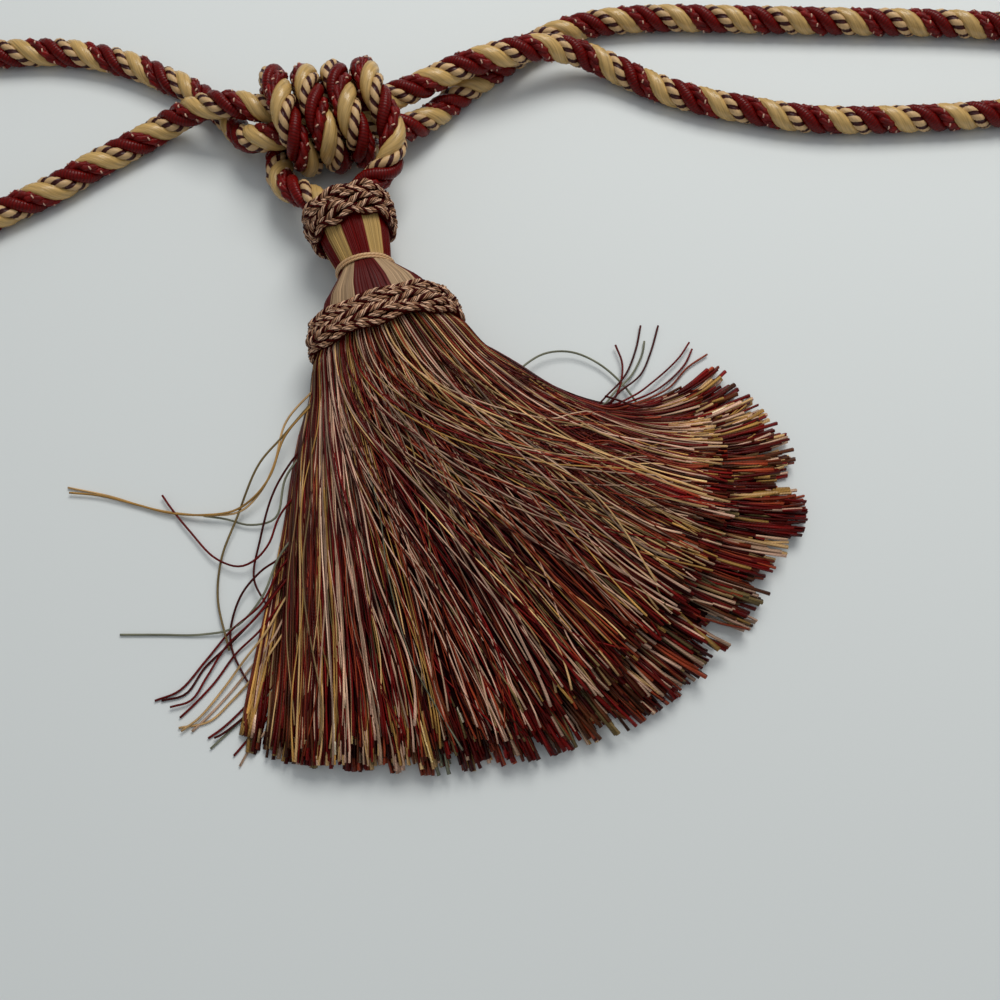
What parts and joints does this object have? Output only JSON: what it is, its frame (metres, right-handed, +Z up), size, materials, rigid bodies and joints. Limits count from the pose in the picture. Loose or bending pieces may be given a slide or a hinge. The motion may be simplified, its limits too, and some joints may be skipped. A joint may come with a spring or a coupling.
{
  "type": "curtain tieback tassel",
  "caption": "Curtain tieback: a ring of twisted rope pinched by a wound rope hanger that holds a striped tassel head with braided ruffs and a long swept cut fringe.",
  "frame": {"origin": "on the flat underside of the skirt's fringe, where it lies on a table, below the middle of the fan", "axes": "+Z up from the table, +Y from the skirt towards the knot, +X towards the side that the skirt is swept to"},
  "size_m": [0.6005, 0.2862, 0.0329],
  "materials": {
    "rope": "four-strand twisted rayon rope: speckled maroon, ribbed maroon, beaded gold and plain satin gold",
    "head_yarn": "satin yarn laid side by side in maroon and gold stripes",
    "tie_yarn": "single satin gold yarn",
    "braid": "braid of two-ply beige and maroon cords",
    "fringe": "cut fringe of fine two-ply yarns in maroon, rust, beige, gold and brown"
  },
  "bodies": {
    "root": {"embrace_rope": "rope", "hanger_rope": "rope", "head": "head_yarn", "neck_tie": "tie_yarn", "top_ruff": "braid", "skirt_ruff": "braid", "skirt_fringe": "fringe", "loose_yarn_1": "fringe", "loose_yarn_2": "fringe", "loose_yarn_3": "fringe", "loose_yarn_4": "fringe", "loose_yarn_5": "fringe", "loose_yarn_6": "fringe"}
  },
  "joints": []
}
